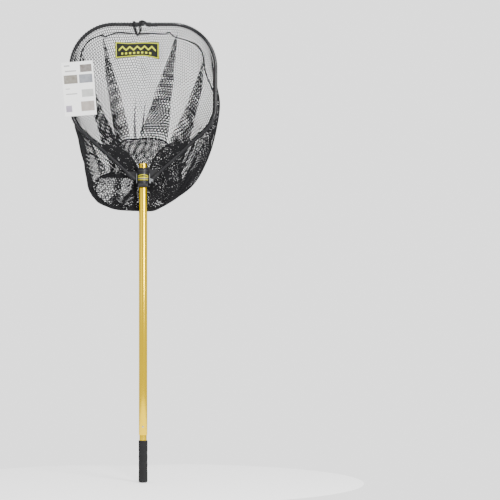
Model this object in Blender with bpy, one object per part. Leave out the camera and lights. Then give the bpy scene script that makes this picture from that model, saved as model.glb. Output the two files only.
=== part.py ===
"""Folding landing net, in metres: a netting bag in a two-piece hoop, on a yoke that slides along a handle.

The handle stands along +Z from its butt at the origin and the net's mouth faces -Y. Both halves of the hoop
fold forward about the handle's own axis, so that axis carries the arm collars below and a hinge pin on top.
"""

import math

import bmesh
import bpy
from mathutils import Matrix, Vector

# Clearances.
GAP = 0.0003
SLIDE_CLEARANCE = 0.00025
WELD = 1e-6

# Handle.
GRIP_LENGTH = 0.143
GRIP_DIAMETER = 0.031
GRIP_END_WALL = 0.005
GRIP_EDGE = 0.004
GRIP_LIP = 0.001
FINGER_HOLLOWS = 4
FINGER_HOLLOW_DEPTH = 0.0008
FINGER_PITCH = 0.0195
FIRST_FINGER = 0.040
INNER_TUBE_DIAMETER = 0.0254
INNER_TUBE_WALL = 0.0013
INNER_TUBE_SHOWN = 0.018
INNER_TUBE_OVERLAP = 0.230
OUTER_TUBE_LENGTH = 0.922
OUTER_TUBE_DIAMETER = 0.0286
OUTER_TUBE_WALL = 0.0013
END_PLUG_DEPTH = 0.016
END_PLUG_WALL = 0.0016
LOCK_BUTTON_ABOVE_MOUTH = 0.029
STOP_BUTTON_BELOW_TIP = 0.0085
BUTTON_DIAMETER = 0.0064
BUTTON_STANDOUT = 0.0042
BUTTON_FLANGE = 0.0009
BUTTON_BASE = 0.0030
BUTTON_DOME = 0.0012
SPRING_THICKNESS = 0.0007
SPRING_WIDTH = 0.007
SPRING_LENGTH = 0.042
SPRING_BELOW_BORE = 0.0038
SPRING_PAD = 0.006
SPRING_BEND = 0.0015

# Yoke.
YOKE_BELOW_TIP = 0.081
YOKE_HEIGHT = 0.066
YOKE_DIAMETER = 0.0344
LINER_WALL = 0.0009
BLOCK_WIDTH = 0.0355
BLOCK_DEPTH = 0.046
BLOCK_HEIGHT = 0.0125
BLOCK_EDGE = 0.004
BEAD_HEIGHT = 0.0075
YOKE_CHAMFER = 0.0006
COLLAR_HEIGHT = 0.0068
COLLAR_DIAMETER = 0.039
WASHER_THICKNESS = 0.0008
TOP_RING_HEIGHT = 0.0030
BAND_MARGIN = 0.0018
BAND_THICKNESS = 0.0004

# Hoop.
HOOP_HALF_WIDTH = 0.246
HOOP_TOP_ABOVE_YOKE = 0.554
HOOP_SET_BACK = 0.012
HOOP_TUBE_DIAMETER = 0.0127
HOOP_TUBE_WALL = 0.0013
TOP_RADIUS = 0.147
CORNER_RADIUS = 0.120
ARM_SLOPE = math.radians(42.3)
ARM_ROOT_OUT = 0.030
ARM_ROOT_ABOVE_YOKE = 0.029
SOCKET_WALL = 0.0020
SOCKET_LENGTH = 0.030
WEB_THICKNESS = 0.008
HINGE_SLEEVE_WALL = 0.0014
HINGE_SLEEVE_LENGTH = 0.018
HINGE_SLEEVE_START = 0.0085
HINGE_EAR_RADIUS = 0.0062
HINGE_PIN_RADIUS = 0.0022
RIVET_RADIUS = 0.0019
RIVET_HEAD_RADIUS = 0.0036
RIVET_HEAD_HEIGHT = 0.0011
RIVET_OUT = 0.0165
SIDE_PLATE_THICKNESS = 0.0016
SIDE_PLATE_WIDTH = 0.0022
SIDE_PLATE_STANDOFF = 0.0012
WING_STEM = 0.006
WING_REACH = 0.015
WING_DEPTH = 0.016

# Bag, as a plain shell in two halves.
BAG_DEPTH = 0.066
BAG_THICKNESS = 0.0016
BAG_BEHIND_HOOP = 0.0070
BAG_HALF_GAP = 0.0012
BAG_CENTRE_BELOW_TOP = 0.266
# How far the bag spreads past the hoop, by angle above level, on each side: it hangs lower than the arms.
RIGHT_SPREAD = ((90, 0), (20, 0.003), (5, 0.020), (-17, 0.024), (-34, 0.069), (-57, 0.110), (-75, 0.100), (-90, 0.088))
LEFT_SPREAD = ((90, 0), (-14, 0.003), (-39, 0.051), (-54, 0.114), (-65, 0.148), (-75, 0.145), (-90, 0.088))
YOKE_ROOM = 0.004
# Sections through the bag, from the mouth to near the middle of its back: share of the way to the hoop, share of
# the depth and, low down, share of the spread past the hoop.
CURTAIN_SECTION = ((1, 0), (0.90, 0.01), (0.78, 0.02), (0.62, 0.06), (0.48, 0.32), (0.28, 0.78))
POUCH_SECTION = ((1, 0, 0), (1, 0.14, 0.6), (1, 0.36, 1), (0.96, 0.62, 0.96), (0.80, 0.84, 0.80), (0.45, 0.97, 0.45))
BORDER_INSET = 0.036
BORDER_END_ANGLE = 9
BORDER_ROPE_DIAMETER = 0.0040

# Trim.
PATCH_WIDTH = 0.150
PATCH_HEIGHT = 0.058
PATCH_LEFT_OF_MIDDLE = 0.021
PATCH_BELOW_TOP = 0.083
PATCH_THICKNESS = 0.0010
CARD_WIDTH = 0.108
CARD_HEIGHT = 0.184
CARD_THICKNESS = 0.0012
CARD_TILT = math.radians(-4.5)
CARD_OUT = 0.218
CARD_BELOW_TOP = 0.219
CARD_Y = 0.0016
CARD_HOLE_RADIUS = 0.0032
CARD_HOLE_BELOW_EDGE = 0.012
TIE_DIAMETER = 0.0030
TIE_OUT = 0.034
TIE_DROP = 0.045

# Places that follow from the sizes.
OUTER_TUBE_FOOT = GRIP_LENGTH + INNER_TUBE_SHOWN
OUTER_TUBE_TOP = OUTER_TUBE_FOOT + OUTER_TUBE_LENGTH
OUTER_TUBE_RADIUS = OUTER_TUBE_DIAMETER / 2
OUTER_BORE_RADIUS = OUTER_TUBE_RADIUS - OUTER_TUBE_WALL
INNER_TUBE_FOOT = GRIP_END_WALL + GAP
INNER_TUBE_TOP = OUTER_TUBE_FOOT + INNER_TUBE_OVERLAP
INNER_TUBE_RADIUS = INNER_TUBE_DIAMETER / 2
INNER_BORE_RADIUS = INNER_TUBE_RADIUS - INNER_TUBE_WALL
LOCK_BUTTON_Z = OUTER_TUBE_FOOT + LOCK_BUTTON_ABOVE_MOUTH
STOP_BUTTON_Z = OUTER_TUBE_TOP - STOP_BUTTON_BELOW_TIP
YOKE_FOOT = OUTER_TUBE_TOP - YOKE_BELOW_TIP
YOKE_TOP = YOKE_FOOT + YOKE_HEIGHT
LINER_BORE = OUTER_TUBE_RADIUS + SLIDE_CLEARANCE
LINER_RADIUS = LINER_BORE + LINER_WALL
SLEEVE_BORE = LINER_RADIUS + GAP
HOOP_TUBE_RADIUS = HOOP_TUBE_DIAMETER / 2
HOOP_TOP = YOKE_FOOT + HOOP_TOP_ABOVE_YOKE
ARM_ROOT_Z = YOKE_FOOT + ARM_ROOT_ABOVE_YOKE
SOCKET_BORE = HOOP_TUBE_RADIUS + GAP
SOCKET_RADIUS = SOCKET_BORE + SOCKET_WALL
RING_TOP = YOKE_TOP - TOP_RING_HEIGHT
UPPER_COLLAR_FOOT = RING_TOP - GAP - COLLAR_HEIGHT
WASHER_FOOT = UPPER_COLLAR_FOOT - GAP - WASHER_THICKNESS
LOWER_COLLAR_FOOT = WASHER_FOOT - GAP - COLLAR_HEIGHT
LOWER_WASHER_FOOT = LOWER_COLLAR_FOOT - GAP - WASHER_THICKNESS
BARREL_TOP = LOWER_WASHER_FOOT - GAP
BAG_CENTRE_Z = HOOP_TOP - BAG_CENTRE_BELOW_TOP
BAG_RIM_Y = HOOP_SET_BACK + HOOP_TUBE_RADIUS + BAG_BEHIND_HOOP


def finish(name, colour, roughness, metallic=0.0):
    made = bpy.data.materials.new(name)
    made.use_nodes = True
    shader = made.node_tree.nodes["Principled BSDF"]
    shader.inputs["Base Color"].default_value = (*colour, 1.0)
    shader.inputs["Roughness"].default_value = roughness
    shader.inputs["Metallic"].default_value = metallic
    return made


def clear_scene():
    for old in list(bpy.data.objects):
        bpy.data.objects.remove(old)


def add(name, bm, material, smooth_under=40):
    """Turns a bmesh into an object with its faces pointing out, smooth where they meet at a small angle."""
    bmesh.ops.remove_doubles(bm, verts=bm.verts, dist=WELD)
    bmesh.ops.recalc_face_normals(bm, faces=bm.faces)
    if bm.calc_volume(signed=True) < 0:
        bmesh.ops.reverse_faces(bm, faces=bm.faces)
    mesh = bpy.data.meshes.new(name)
    bm.to_mesh(mesh)
    bm.free()
    mesh.materials.append(material)
    mesh.shade_smooth()
    mesh.set_sharp_from_angle(angle=math.radians(smooth_under))
    made = bpy.data.objects.new(name, mesh)
    bpy.context.scene.collection.objects.link(made)
    return made


def helper(made):
    made.hide_render = True
    made.display_type = "WIRE"
    return made


def combine(body, other, operation):
    step = body.modifiers.new(other.name, "BOOLEAN")
    step.operation = operation
    step.solver = "EXACT"
    step.object = helper(other)


def cut(body, *cutters):
    for cutter in cutters:
        combine(body, cutter, "DIFFERENCE")


def join(body, *others):
    for other in others:
        combine(body, other, "UNION")


def turned(name, profile, material, centre=(0, 0, 0), sides=32):
    """A body turned about Z from a closed run of (radius, height) corners."""
    bm = bmesh.new()
    corners = [bm.verts.new((radius, 0, height)) for radius, height in profile]
    loop = corners + corners[:1]
    edges = [bm.edges.new(pair) for pair in zip(loop, loop[1:]) if any(end.co.x > 0 for end in pair)]
    bmesh.ops.spin(
        bm, geom=corners + edges, cent=(0, 0, 0), axis=(0, 0, 1), angle=math.tau, steps=sides, use_duplicate=False
    )
    bmesh.ops.translate(bm, verts=bm.verts, vec=centre)
    return add(name, bm, material)


def sleeve(name, bore, radius, foot, top, material, chamfer=0.0, sides=32):
    rim = [(radius, foot), (radius, top)]
    if chamfer:
        rim = [(radius - chamfer, foot), (radius, foot + chamfer), (radius, top - chamfer), (radius - chamfer, top)]
    return turned(name, [(bore, foot), *rim, (bore, top)], material, sides=sides)


def rod(name, start, end, radius, material, sides=16):
    start, end = Vector(start), Vector(end)
    along = end - start
    bm = bmesh.new()
    place = Matrix.Translation((start + end) / 2) @ along.to_track_quat("Z", "Y").to_matrix().to_4x4()
    bmesh.ops.create_cone(
        bm, cap_ends=True, segments=sides, radius1=radius, radius2=radius, depth=along.length, matrix=place
    )
    return add(name, bm, material)


def block(name, low, high, material, edge=0.0):
    low, high = Vector(low), Vector(high)
    bm = bmesh.new()
    size = Matrix.Diagonal((*(high - low), 1))
    bmesh.ops.create_cube(bm, size=1, matrix=Matrix.Translation((low + high) / 2) @ size)
    if edge:
        bmesh.ops.bevel(bm, geom=bm.edges[:], offset=edge, segments=2, profile=0.5, affect="EDGES")
    return add(name, bm, material, smooth_under=60)


def plate(name, outline, front, back, material):
    """A flat outline of (x, z) corners, filled and run from y = front to y = back."""
    bm = bmesh.new()
    face = bm.faces.new([bm.verts.new((x, front, z)) for x, z in outline])
    drawn = bmesh.ops.extrude_face_region(bm, geom=[face])["geom"]
    bmesh.ops.translate(bm, verts=[v for v in drawn if isinstance(v, bmesh.types.BMVert)], vec=(0, back - front, 0))
    return add(name, bm, material)


def cord(name, points, diameter, material, closed=False):
    """A round cord through the points, as a curve with filled ends."""
    curve = bpy.data.curves.new(name, "CURVE")
    curve.dimensions = "3D"
    curve.bevel_depth = diameter / 2
    curve.bevel_resolution = 2
    curve.use_fill_caps = True
    line = curve.splines.new("POLY")
    line.points.add(len(points) - 1)
    for slot, point in zip(line.points, points):
        slot.co = (*point, 1)
    line.use_cyclic_u = closed
    curve.materials.append(material)
    made = bpy.data.objects.new(name, curve)
    bpy.context.scene.collection.objects.link(made)
    return made


def smooth_route(points, per_span=4):
    """Points on a Catmull-Rom curve through the given points."""
    points = [Vector(point) for point in points]
    ends = [2 * points[0] - points[1], *points, 2 * points[-1] - points[-2]]
    route = []
    for a, b, c, d in zip(ends, ends[1:], ends[2:], ends[3:]):
        for step in range(per_span):
            t = step / per_span
            route.append(0.5 * (2 * b + (c - a) * t + (2 * a - 5 * b + 4 * c - d) * t * t
                                + (3 * b - a - 3 * c + d) * t ** 3))
    return route + [points[-1]]


def arc(centre, radius, start, end, steps):
    """Points from angle start to angle end about centre, as (x, z)."""
    for step in range(steps + 1):
        angle = start + (end - start) * step / steps
        yield centre[0] + radius * math.cos(angle), centre[1] + radius * math.sin(angle)


def hoop_line(side):
    """The tube's centreline from the top hinge down to the arm's root, as (x, z)."""
    turn = math.pi / 2 - ARM_SLOPE
    corner_z = ARM_ROOT_Z + (HOOP_HALF_WIDTH - ARM_ROOT_OUT) * math.tan(ARM_SLOPE)
    corner_centre = (HOOP_HALF_WIDTH - CORNER_RADIUS, corner_z + CORNER_RADIUS * math.tan(turn / 2))
    top_centre = (HOOP_HALF_WIDTH - TOP_RADIUS, HOOP_TOP - TOP_RADIUS)
    line = [(HINGE_SLEEVE_START + GAP, HOOP_TOP)]
    line += arc(top_centre, TOP_RADIUS, math.pi / 2, 0, 10)
    line += arc(corner_centre, CORNER_RADIUS, 0, -turn, 6)
    line.append((ARM_ROOT_OUT, ARM_ROOT_Z))
    return [(side * x, z) for x, z in line]


def along_arm(side, distance):
    """A point on the arm's centreline, this far out from its root."""
    return Vector((side * (ARM_ROOT_OUT + distance * math.cos(ARM_SLOPE)), HOOP_SET_BACK,
                   ARM_ROOT_Z + distance * math.sin(ARM_SLOPE)))


def swept_tube(name, line, radius, bore, material, sides=12):
    """A round tube along a line in the hoop's plane, open at both ends."""
    bm = bmesh.new()
    points = [Vector((x, HOOP_SET_BACK, z)) for x, z in line]
    rings = []
    for index, point in enumerate(points):
        ahead = points[min(index + 1, len(points) - 1)] - point
        behind = point - points[max(index - 1, 0)]
        tangent = (ahead.normalized() + behind.normalized()).normalized()
        across = tangent.cross(Vector((0, 1, 0)))
        turns = [math.tau * step / sides for step in range(sides)]
        rings.append([
            [bm.verts.new(point + size * (across * math.cos(turn) + Vector((0, math.sin(turn), 0)))) for turn in turns]
            for size in (radius, bore)
        ])
    for first, second in zip(rings, rings[1:]):
        for ring_a, ring_b in zip(first, second):
            for step in range(sides):
                after = (step + 1) % sides
                bm.faces.new((ring_a[step], ring_a[after], ring_b[after], ring_b[step]))
    for outer, inner in (rings[0], rings[-1]):
        for step in range(sides):
            after = (step + 1) % sides
            bm.faces.new((outer[step], outer[after], inner[after], inner[step]))
    return add(name, bm, material)


def reach(angle, line):
    """How far it is from the bag's centre to the hoop's line, at this angle above level."""
    ahead = Vector((math.cos(angle), math.sin(angle)))
    centre = Vector((0, BAG_CENTRE_Z))
    best = 0.0
    for start, end in zip(line, line[1:]):
        start, end = Vector(start) - centre, Vector(end) - centre
        run = end - start
        across = ahead.x * run.y - ahead.y * run.x
        if abs(across) < 1e-9:
            continue
        distance = (start.x * run.y - start.y * run.x) / across
        share = (start.x * ahead.y - start.y * ahead.x) / across
        if distance > 0 and -1e-6 <= share <= 1 + 1e-6:
            best = max(best, distance)
    return best


def spread(angle, table):
    """The value at this angle in a table of (degrees, value), in straight steps."""
    degrees = math.degrees(angle)
    for (high, above), (low, below) in zip(table, table[1:]):
        if degrees >= low:
            return below + (above - below) * max(0.0, min(1.0, (degrees - low) / (high - low)))
    return table[-1][1]


def mouth_line():
    """The right half of the bag's mouth, as (x, z), closed on the middle line behind the yoke and at the top."""
    line = hoop_line(1)
    return [(0, HOOP_TOP)] + line + [(0, ARM_ROOT_Z - ARM_ROOT_OUT * math.tan(ARM_SLOPE) / 2)]


def mixed(share, low, high):
    return low + (high - low) * share


def bag_half(side, material):
    """One half of the bag. Each ring runs from the mouth to the middle of the back: like a curtain at the top,
    and out past the hoop, down and round at the bottom."""
    table = RIGHT_SPREAD if side > 0 else LEFT_SPREAD
    line = mouth_line()
    steps, bm, rings = 26, bmesh.new(), []
    for step in range(steps + 1):
        angle = math.pi / 2 - math.pi * step / steps
        hoop, past = reach(angle, line), spread(angle, table)
        curtain = max(0.0, min(1.0, (math.sin(angle) - 0.2) / 0.7))
        foot = BAG_RIM_Y + max(0.0, -math.sin(angle)) ** 8 * (BLOCK_DEPTH / 2 + YOKE_ROOM - BAG_RIM_Y)
        ring = []
        for hanging, pouch in zip(CURTAIN_SECTION, POUCH_SECTION):
            across, back = mixed(curtain, pouch[0], hanging[0]), mixed(curtain, pouch[1], hanging[1])
            radius = across * hoop + pouch[2] * past
            y = mixed(back, foot, BAG_RIM_Y + BAG_DEPTH)
            x = side * (BAG_HALF_GAP + radius * max(0.0, math.cos(angle)))
            ring.append(bm.verts.new((x, y, BAG_CENTRE_Z + radius * math.sin(angle))))
        rings.append(ring)
    middle = bm.verts.new((side * BAG_HALF_GAP, BAG_RIM_Y + BAG_DEPTH, BAG_CENTRE_Z))
    for first, second in zip(rings, rings[1:]):
        for inner in range(len(first) - 1):
            bm.faces.new((first[inner], first[inner + 1], second[inner + 1], second[inner]))
        bm.faces.new((first[-1], middle, second[-1]))
    made = add(side_name(side, "bag"), bm, material)
    wall = made.modifiers.new("wall", "SOLIDIFY")
    wall.thickness = BAG_THICKNESS
    wall.offset = 0


def side_name(side, rest):
    return ("right_" if side > 0 else "left_") + rest


def handle(gold, foam, plastic, steel, dark):
    """The two tubes, their plugs, the grip and the two sprung buttons."""
    grip_radius, bore, foot = GRIP_DIAMETER / 2, INNER_TUBE_RADIUS + GAP, GRIP_END_WALL
    waist = grip_radius - FINGER_HOLLOW_DEPTH
    profile = [(0, 0), (grip_radius - GRIP_EDGE, 0), (grip_radius - GRIP_EDGE * 0.3, GRIP_EDGE * 0.3),
               (grip_radius, GRIP_EDGE)]
    for hollow in range(FINGER_HOLLOWS):
        low = FIRST_FINGER + FINGER_PITCH * hollow
        profile += [(grip_radius, low), (waist, low + FINGER_PITCH * 0.35), (waist, low + FINGER_PITCH * 0.65)]
    profile += [(grip_radius, FIRST_FINGER + FINGER_PITCH * FINGER_HOLLOWS), (grip_radius, GRIP_LENGTH - GRIP_LIP),
                (grip_radius - GRIP_LIP, GRIP_LENGTH), (bore, GRIP_LENGTH), (bore, foot), (0, foot)]
    turned("handle_grip", profile, foam, sides=28)

    inner = sleeve("inner_tube", INNER_BORE_RADIUS, INNER_TUBE_RADIUS, INNER_TUBE_FOOT, INNER_TUBE_TOP, gold)
    outer = sleeve("handle_tube", OUTER_BORE_RADIUS, OUTER_TUBE_RADIUS, OUTER_TUBE_FOOT, OUTER_TUBE_TOP, gold)
    hole = BUTTON_DIAMETER / 2 + GAP
    for tube, label, height in ((inner, "inner_lock", LOCK_BUTTON_Z), (outer, "outer_lock", LOCK_BUTTON_Z),
                                (outer, "outer_stop", STOP_BUTTON_Z)):
        cut(tube, rod(label + "_hole", (0, -2 * OUTER_TUBE_RADIUS, height), (0, 0, height), hole, dark))

    plug("butt_plug", INNER_BORE_RADIUS, INNER_TUBE_FOOT + GAP, plastic)
    plug("inner_tube_plug", INNER_BORE_RADIUS, INNER_TUBE_TOP - END_PLUG_DEPTH, plastic)
    button("grip_lock", LOCK_BUTTON_Z, INNER_BORE_RADIUS, steel)
    button("head_stop", STOP_BUTTON_Z, OUTER_BORE_RADIUS, dark)
    leaf_spring("grip_lock_spring", LOCK_BUTTON_Z, INNER_BORE_RADIUS, steel)
    leaf_spring("head_stop_spring", STOP_BUTTON_Z, OUTER_BORE_RADIUS, steel)


def plug(name, bore_radius, foot, material):
    """A cup-shaped plug that fits a tube's bore."""
    radius, top, floor = bore_radius - GAP, foot + END_PLUG_DEPTH, foot + END_PLUG_WALL
    turned(name, [(0, foot), (radius, foot), (radius, top), (radius - END_PLUG_WALL, top),
                  (radius - END_PLUG_WALL, floor), (0, floor)], material, sides=24)


def button(name, height, bore_radius, material):
    """A snap button that stands out of the tube's front, with a flange that stops it inside the bore."""
    radius, seat = BUTTON_DIAMETER / 2, bore_radius - GAP
    tip = OUTER_TUBE_RADIUS + BUTTON_STANDOUT
    flange = radius + BUTTON_FLANGE
    shoulder = math.sqrt(bore_radius ** 2 - flange ** 2) - 1.7 * GAP
    profile = [(0, seat - BUTTON_BASE), (flange, seat - BUTTON_BASE), (flange, shoulder), (radius, shoulder),
               (radius, tip - BUTTON_DOME), (radius * 0.72, tip - BUTTON_DOME / 4), (0, tip)]
    made = turned(name + "_button", profile, material, sides=20)
    made.data.transform(Matrix.Translation((0, 0, height)) @ Matrix.Rotation(math.pi / 2, 4, "X"))


def leaf_spring(name, height, bore_radius, material):
    """A flat strip bent to a V inside the tube: one leg presses the button out, the other rests on the far wall."""
    front, back = bore_radius - SPRING_BELOW_BORE, bore_radius - SPRING_BELOW_BORE + 0.0018
    line = [(-front, height + SPRING_PAD), (-front, height - SPRING_PAD), (-SPRING_BEND, height - SPRING_LENGTH),
            (SPRING_BEND, height - SPRING_LENGTH), (back, height - SPRING_PAD / 1.5)]
    strip = [Vector(point) for point in line]
    sides = []
    for index, point in enumerate(strip):
        ahead = (strip[min(index + 1, len(strip) - 1)] - point).normalized()
        behind = (point - strip[max(index - 1, 0)]).normalized()
        tangent = (ahead + behind).normalized()
        sides.append(Vector((-tangent.y, tangent.x)) * SPRING_THICKNESS / 2)
    outline = [p + s for p, s in zip(strip, sides)] + [p - s for p, s in reversed(list(zip(strip, sides)))]
    bm = bmesh.new()
    face = bm.faces.new([bm.verts.new((-SPRING_WIDTH / 2, y, z)) for y, z in outline])
    drawn = bmesh.ops.extrude_face_region(bm, geom=[face])["geom"]
    bmesh.ops.translate(bm, verts=[v for v in drawn if isinstance(v, bmesh.types.BMVert)], vec=(SPRING_WIDTH, 0, 0))
    add(name, bm, material)


def yoke(plastic, aluminium, nylon, band):
    """The liner that runs on the handle, and what sits on it between its foot and its top ring."""
    liner_top = RING_TOP - GAP
    sleeve("yoke_liner", LINER_BORE, LINER_RADIUS, YOKE_FOOT + 0.0006, liner_top, aluminium)
    base = block("yoke_block", (-BLOCK_WIDTH / 2, -BLOCK_DEPTH / 2, YOKE_FOOT),
                 (BLOCK_WIDTH / 2, BLOCK_DEPTH / 2, YOKE_FOOT + BLOCK_HEIGHT), plastic, edge=BLOCK_EDGE)
    bore = rod("yoke_block_bore", (0, 0, YOKE_FOOT - 0.01), (0, 0, YOKE_FOOT + BLOCK_HEIGHT + 0.01), SLEEVE_BORE,
               plastic, sides=32)
    cut(base, bore)
    radius = YOKE_DIAMETER / 2
    bead_foot = YOKE_FOOT + BLOCK_HEIGHT + GAP
    sleeve("yoke_bead", SLEEVE_BORE, radius, bead_foot, bead_foot + BEAD_HEIGHT, plastic, chamfer=YOKE_CHAMFER)
    barrel_foot = bead_foot + BEAD_HEIGHT + GAP
    recess = radius - BAND_THICKNESS - GAP
    band_foot, band_top = barrel_foot + BAND_MARGIN, BARREL_TOP - BAND_MARGIN
    turned("yoke_barrel", [
        (SLEEVE_BORE, barrel_foot), (radius - YOKE_CHAMFER, barrel_foot), (radius, barrel_foot + YOKE_CHAMFER),
        (radius, band_foot - GAP), (recess, band_foot - GAP), (recess, band_top + GAP), (radius, band_top + GAP),
        (radius, BARREL_TOP), (SLEEVE_BORE, BARREL_TOP),
    ], plastic)
    sleeve("yoke_band", recess + GAP, radius, band_foot, band_top, band)
    washer_radius = COLLAR_DIAMETER / 2 - 0.0012
    sleeve("lower_washer", SLEEVE_BORE, washer_radius, LOWER_WASHER_FOOT, LOWER_WASHER_FOOT + WASHER_THICKNESS, nylon)
    sleeve("upper_washer", SLEEVE_BORE, washer_radius, WASHER_FOOT, WASHER_FOOT + WASHER_THICKNESS, nylon)
    sleeve("yoke_top_ring", LINER_BORE, COLLAR_DIAMETER / 2 - 0.0008, RING_TOP, YOKE_TOP, plastic, chamfer=YOKE_CHAMFER)


def half_hoop(side, black, plastic, steel, aluminium):
    """One half of the hoop: the bent tube, the collar casting that holds its arm, and its share of the top hinge."""
    tube = swept_tube(side_name(side, "hoop_tube"), hoop_line(side), HOOP_TUBE_RADIUS,
                      HOOP_TUBE_RADIUS - HOOP_TUBE_WALL, black)
    collar_foot = UPPER_COLLAR_FOOT if side > 0 else LOWER_COLLAR_FOOT
    collar_radius = COLLAR_DIAMETER / 2
    arm = sleeve(side_name(side, "arm_collar"), SLEEVE_BORE, collar_radius, collar_foot, collar_foot + COLLAR_HEIGHT,
                 plastic)
    start, end = along_arm(side, -0.003), along_arm(side, SOCKET_LENGTH)
    web_root, web_out = collar_radius + 0.0008, abs(along_arm(side, SOCKET_LENGTH - 0.004).x)
    web_low = abs(along_arm(side, 0.004).x)
    web = plate(side_name(side, "web"), [
        (side * (SLEEVE_BORE + 0.0014), collar_foot), (side * (SLEEVE_BORE + 0.0014), collar_foot + COLLAR_HEIGHT),
        (side * web_out, collar_foot + COLLAR_HEIGHT * 0.8), (side * web_out, along_arm(side, SOCKET_LENGTH - 0.004).z),
        (side * web_low, along_arm(side, 0.004).z), (side * web_root, along_arm(side, 0).z),
        (side * web_root, collar_foot),
    ], HOOP_SET_BACK - WEB_THICKNESS / 2, HOOP_SET_BACK + WEB_THICKNESS / 2, plastic)
    holder = rod(side_name(side, "socket"), start, end, SOCKET_RADIUS, plastic, sides=20)
    join(arm, web, holder)
    ahead = (end - start).normalized()
    blind = rod(side_name(side, "socket_bore"), along_arm(side, 0) - ahead * GAP, end + ahead * 0.01, SOCKET_BORE,
                plastic, sides=20)
    rivet_at = along_arm(side, RIVET_OUT)
    sideways = Vector((0, SOCKET_RADIUS + 0.004, 0))
    holes = [rod(side_name(side, label), rivet_at - sideways, rivet_at + sideways, RIVET_RADIUS + GAP, steel, sides=12)
             for label in ("rivet_hole", "tube_rivet_hole")]
    barrel_room = rod(side_name(side, "barrel_room"), (0, 0, YOKE_FOOT), (0, 0, YOKE_TOP), SLEEVE_BORE, plastic, 32)
    cut(arm, blind, holes[0], barrel_room)
    cut(tube, holes[1])
    rivet(side_name(side, "arm_rivet"), rivet_at, SOCKET_RADIUS, steel)
    side_plate(side, aluminium)
    top_hinge_half(side, black)


def side_plate(side, material):
    """A bare metal strip that stiffens the foot of the arm, above the block; the right one has a wing to push on."""
    inner = COLLAR_DIAMETER / 2 + SIDE_PLATE_STANDOFF
    outer = inner + SIDE_PLATE_WIDTH
    low, high = YOKE_FOOT + BLOCK_HEIGHT + SIDE_PLATE_STANDOFF, LOWER_COLLAR_FOOT - SIDE_PLATE_STANDOFF
    back = HOOP_SET_BACK - SOCKET_RADIUS - GAP
    outline = [(side * inner, low), (side * outer, low), (side * outer, high), (side * inner, high)]
    if side > 0:
        stem, tip, middle = inner + WING_STEM, inner + WING_REACH, low + WING_DEPTH * 0.6
        outline[1:3] = [(stem, low), (stem, middle - 0.004), (tip, middle), (tip - 0.002, middle + 0.004),
                        (stem, low + WING_DEPTH), (outer, low + WING_DEPTH + 0.002), (outer, high)]
    plate(side_name(side, "arm_strip"), outline, back - SIDE_PLATE_THICKNESS, back, material)


def rivet(name, centre, half_grip, material):
    """A two-headed rivet along Y."""
    under, top = half_grip + GAP, half_grip + GAP + RIVET_HEAD_HEIGHT
    profile = [(0, -top), (RIVET_HEAD_RADIUS * 0.7, -top), (RIVET_HEAD_RADIUS, -under), (RIVET_RADIUS, -under),
               (RIVET_RADIUS, under), (RIVET_HEAD_RADIUS, under), (RIVET_HEAD_RADIUS * 0.7, top), (0, top)]
    made = turned(name, profile, material, sides=14)
    made.data.transform(Matrix.Translation(centre) @ Matrix.Rotation(math.pi / 2, 4, "X"))


def top_hinge_half(side, material):
    """The fitting on the tube's top end: a sleeve, and an ear on the fold axis that laps the other half's ear."""
    split = HOOP_TOP
    ear_height = HOOP_TUBE_RADIUS - GAP
    low, high = (split + GAP / 2, split + ear_height) if side > 0 else (split - ear_height, split - GAP / 2)
    out = HINGE_SLEEVE_START + HINGE_SLEEVE_LENGTH
    radius = HOOP_TUBE_RADIUS + GAP + HINGE_SLEEVE_WALL
    fitting = rod(side_name(side, "top_hinge"), (side * HINGE_SLEEVE_START / 1.2, HOOP_SET_BACK, split),
                  (side * out, HOOP_SET_BACK, split), radius, material, sides=20)
    ear = rod(side_name(side, "ear"), (0, 0, low), (0, 0, high), HINGE_EAR_RADIUS, material, sides=20)
    link = block(side_name(side, "ear_link"), (min(side * 0.001, side * 0.0105), 0.0005, low),
                 (max(side * 0.001, side * 0.0105), HOOP_SET_BACK + 0.004, high), material)
    join(fitting, ear, link)
    bore = rod(side_name(side, "top_bore"), (side * HINGE_SLEEVE_START, HOOP_SET_BACK, split),
               (side * (out + 0.01), HOOP_SET_BACK, split), HOOP_TUBE_RADIUS + GAP, material, sides=20)
    pin_hole = rod(side_name(side, "pin_hole"), (0, 0, split - 0.02), (0, 0, split + 0.02),
                   HINGE_PIN_RADIUS + GAP, material, sides=20)
    cut(fitting, bore, pin_hole)


def top_pin(material):
    under = HOOP_TUBE_RADIUS
    top = under + RIVET_HEAD_HEIGHT
    head = HINGE_PIN_RADIUS + 0.0018
    turned("top_hinge_pin", [
        (0, -top), (head * 0.7, -top), (head, -under), (HINGE_PIN_RADIUS, -under), (HINGE_PIN_RADIUS, under),
        (head, under), (head * 0.7, top), (0, top)], material, centre=(0, 0, HOOP_TOP), sides=16)


def border_rope(side, material):
    """The rope in the net's upper edge: it runs inside the hoop and meets the tube half-way down its side."""
    line, steps, points = mouth_line(), 22, []
    for step in range(steps + 1):
        angle = math.radians(mixed(step / steps, 89, BORDER_END_ANGLE))
        inward = min(1.0, (steps - step) / steps * 2.6)
        radius = reach(angle, line) - mixed(inward, HOOP_TUBE_RADIUS, BORDER_INSET)
        points.append((side * max(radius * math.cos(angle), BAG_HALF_GAP), BAG_RIM_Y - BORDER_ROPE_DIAMETER,
                       BAG_CENTRE_Z + radius * math.sin(angle)))
    cord(side_name(side, "border_rope"), points, BORDER_ROPE_DIAMETER, material)


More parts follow.
